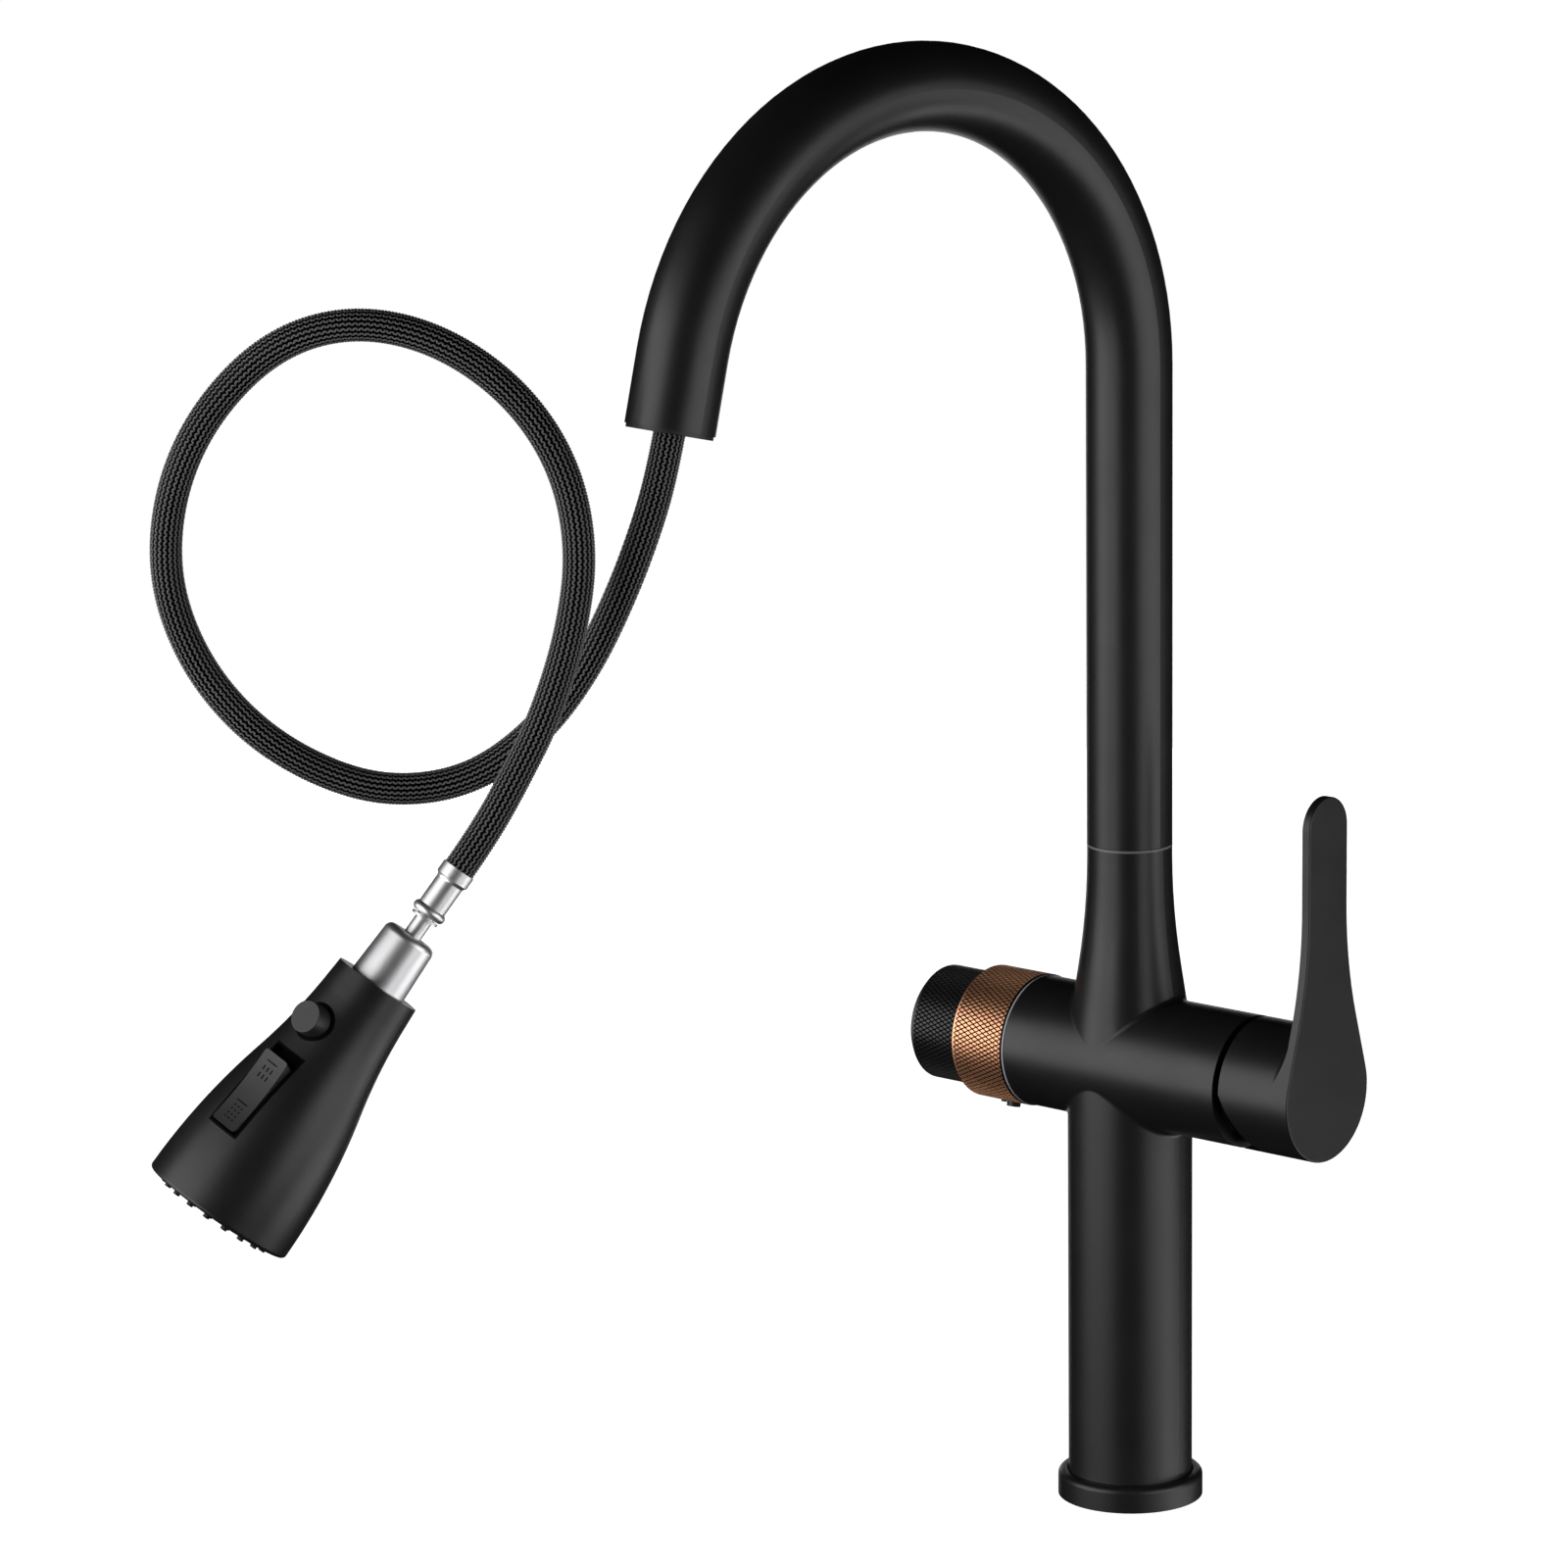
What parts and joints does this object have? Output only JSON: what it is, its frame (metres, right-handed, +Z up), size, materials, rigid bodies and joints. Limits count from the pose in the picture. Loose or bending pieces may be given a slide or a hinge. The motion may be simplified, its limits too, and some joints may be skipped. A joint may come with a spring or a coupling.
{
  "type": "pull-down kitchen faucet",
  "caption": "Deck-mounted kitchen tap with swivelling gooseneck, side lever, filtered-water knob and a corded pull-down spray head drawn out on its hose.",
  "frame": {"origin": "centre of the base flange's underside, on the deck", "axes": "+Z up along the column, +X along the cross tube towards the lever, spout towards -Y"},
  "size_m": [0.2285, 0.3673, 0.4953],
  "materials": {
    "matte_black": "matte satin black coating",
    "copper": "satin copper, diamond knurl",
    "black_plastic": "satin moulded plastic",
    "chrome": "polished",
    "satin_chrome": "satin",
    "brass": "as machined",
    "steel": "bright",
    "dark_metal": "dark plated",
    "rubber": "matte",
    "light_nylon": "satin",
    "hose_braid": "black nylon braid"
  },
  "bodies": {
    "faucet_body": {"base_flange": "matte_black", "base_gasket": "rubber", "base_insert": "brass", "riser_tubes": "brass", "valve_body": "matte_black", "swivel_ring": "light_nylon", "cartridge_body": "light_nylon", "cartridge_nut": "dark_metal", "body_edge_ring": "light_nylon", "filter_valve": "brass"},
    "spout": {"gooseneck_tube": "matte_black", "spout_spigot": "brass", "spigot_orings": "rubber", "guide_bush": "black_plastic", "hose": "hose_braid", "hose_in_spout": "hose_braid", "hose_ferrule": "chrome", "ball_stud": "chrome"},
    "lever_carrier": {"cartridge_rotor": "light_nylon", "stem_pin": "steel"},
    "lever": {"cartridge_stem": "brass", "lever_handle": "matte_black", "lever_grub_screw": "steel"},
    "filter_knob": {"filter_spindle": "brass", "knob_cap": "matte_black", "copper_ring": "copper", "ring_finger_stud": "dark_metal", "ring_set_screw": "dark_metal", "knob_grub_screw": "steel"},
    "ball_socket": {"ball_seat": "light_nylon"},
    "spray_head": {"head_shell": "matte_black", "socket_sleeve": "satin_chrome", "check_valve": "light_nylon", "water_core": "light_nylon", "button_socket": "black_plastic", "rocker_tray": "black_plastic", "rocker_pin": "steel", "spray_face": "black_plastic", "aerator": "black_plastic", "spray_nozzles": "rubber"},
    "pause_button": {"pause_button": "black_plastic", "button_spring": "steel"},
    "rocker": {"rocker": "black_plastic"}
  },
  "joints": [
    {"name": "spout_swivel", "type": "hinge", "parent": "faucet_body", "child": "spout", "pos_m": [0, 0, 0.2235], "axis": [0, 0, 1], "range_deg": [-180, 180]},
    {"name": "lever_turn", "type": "hinge", "parent": "faucet_body", "child": "lever_carrier", "pos_m": [0.04, 0, 0.151], "axis": [1, 0, 0], "range_deg": [-45, 45]},
    {"name": "lever_tilt", "type": "hinge", "parent": "lever_carrier", "child": "lever", "pos_m": [0.04, 0, 0.151], "axis": [0, 1, 0], "range_deg": [0, 22]},
    {"name": "filter_knob_turn", "type": "hinge", "parent": "faucet_body", "child": "filter_knob", "pos_m": [-0.06, 0, 0.151], "axis": [1, 0, 0], "range_deg": [0, 90]},
    {"name": "head_tilt", "type": "hinge", "parent": "spout", "child": "ball_socket", "pos_m": [-0.06937, -0.27167, 0.22801], "axis": [0.8435, -0.5372, 0], "range_deg": [-10, 10]},
    {"name": "head_spin", "type": "hinge", "parent": "ball_socket", "child": "spray_head", "pos_m": [-0.07337, -0.27795, 0.21835], "axis": [0.328, 0.515, 0.792], "continuous": true},
    {"name": "pause_button_press", "type": "slide", "parent": "spray_head", "child": "pause_button", "axis": [-0.1502, 0.8561, -0.4945], "range_m": [0, 0.0022], "stiffness_N_per_m": 300, "springref_m": -0.002},
    {"name": "rocker_tilt", "type": "hinge", "parent": "spray_head", "child": "rocker", "pos_m": [-0.08625, -0.31783, 0.18963], "axis": [-0.9327, 0.0433, 0.3581], "range_deg": [0, 6]}
  ]
}
